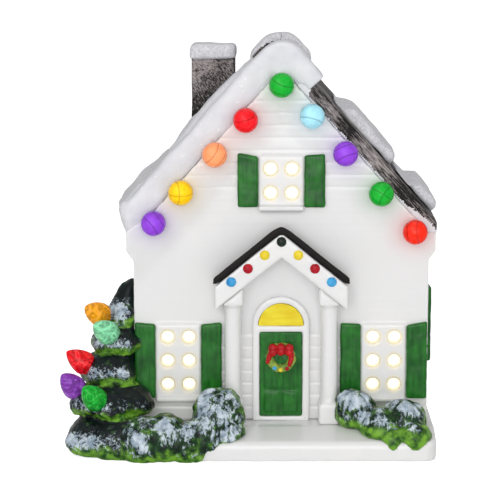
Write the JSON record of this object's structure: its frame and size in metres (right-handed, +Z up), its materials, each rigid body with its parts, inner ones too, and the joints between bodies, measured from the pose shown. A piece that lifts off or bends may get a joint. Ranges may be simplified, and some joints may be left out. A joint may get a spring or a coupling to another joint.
{
  "type": "lit ceramic village house",
  "caption": "White glazed ceramic cottage with green shutters, coloured lights along the gable and on a tree, pierced lit windows, and a battery light unit underneath.",
  "frame": {"origin": "on the table under the house, midway across the walls and midway between the gables", "axes": "+Z up, the front door faces -Y, +X to the viewer's right"},
  "size_m": [0.1702, 0.13, 0.1863],
  "materials": {
    "white_glaze": "clear gloss over white earthenware",
    "roof_glaze": "black-brown stain, dry-brushed grey",
    "snow_glaze": "thick white slip with fine sparkle",
    "green_glaze": "hand-brushed gloss green",
    "evergreen_glaze": "dark green, dry-brushed with snow",
    "yellow_glaze": "brushed gloss yellow",
    "red_glaze": "brushed gloss red",
    "bead_glaze": "gloss dots in red, yellow, blue and green",
    "frosted_acrylic": "frosted, lit from behind",
    "abs_white": "moulded, fine texture",
    "silicone": "smoothed bead",
    "steel": "nickel plated",
    "cell_wrap": "shrunk sleeve, plain",
    "board_laminate": "solder mask",
    "led_epoxy": "clear warm white",
    "switch_plastic": "moulded",
    "lead_red": "extruded sleeve",
    "lead_black": "extruded sleeve",
    "light_red": "translucent, lit",
    "light_green": "translucent, lit",
    "light_purple": "translucent, lit",
    "light_yellow": "translucent, lit",
    "light_orange": "translucent, lit",
    "light_ice": "translucent, lit",
    "light_mint": "translucent, lit"
  },
  "bodies": {
    "house": {"base_plate": "abs_white", "battery_cells": "cell_wrap", "battery_contacts": "steel", "board_screws": "steel", "chimney": "roof_glaze", "chimney_snow": "snow_glaze", "christmas_tree": "evergreen_glaze", "door_casing": "white_glaze", "door_wreath": "green_glaze", "fanlight": "yellow_glaze", "front_door": "green_glaze", "globe_left_1": "light_red", "globe_left_2": "light_orange", "globe_left_3": "light_yellow", "globe_left_4": "light_purple", "globe_peak": "light_green", "globe_right_1": "light_ice", "globe_right_2": "light_purple", "globe_right_3": "light_green", "globe_right_4": "light_red", "hinge_pin": "steel", "hood_beads": "bead_glaze", "hood_gable": "white_glaze", "hood_roof": "roof_glaze", "house_walls": "white_glaze", "lead_battery": "lead_black", "lead_feed": "lead_red", "lead_switch": "lead_red", "leds": "led_epoxy", "left_hedge": "evergreen_glaze", "light_board": "board_laminate", "porch_column_left": "white_glaze", "porch_column_right": "white_glaze", "right_bush": "evergreen_glaze", "roof": "roof_glaze", "roof_snow": "snow_glaze", "shutter_left_side_a": "green_glaze", "shutter_left_side_b": "green_glaze", "shutter_lower_left_a": "green_glaze", "shutter_lower_left_b": "green_glaze", "shutter_lower_right_a": "green_glaze", "shutter_lower_right_b": "green_glaze", "shutter_right_side_a": "green_glaze", "shutter_right_side_b": "green_glaze", "shutter_upper_a": "green_glaze", "shutter_upper_b": "green_glaze", "silicone_seal": "silicone", "snow_base": "white_glaze", "switch_body": "switch_plastic", "tree_light_amber": "light_orange", "tree_light_green": "light_green", "tree_light_mint": "light_mint", "tree_light_purple": "light_purple", "tree_light_red": "light_red", "window_films": "frosted_acrylic", "wreath_bow": "red_glaze"},
    "battery_door": {"battery_door": "abs_white"},
    "switch_knob": {"switch_knob": "switch_plastic"}
  },
  "joints": [
    {"name": "battery_door_hinge", "type": "hinge", "parent": "house", "child": "battery_door", "pos_m": [-0.014, -0.02085, 0.0032], "axis": [-1, 0, 0], "range_deg": [0, 95]},
    {"name": "switch_slide", "type": "slide", "parent": "house", "child": "switch_knob", "axis": [1, 0, 0], "range_m": [0, 0.004]}
  ]
}
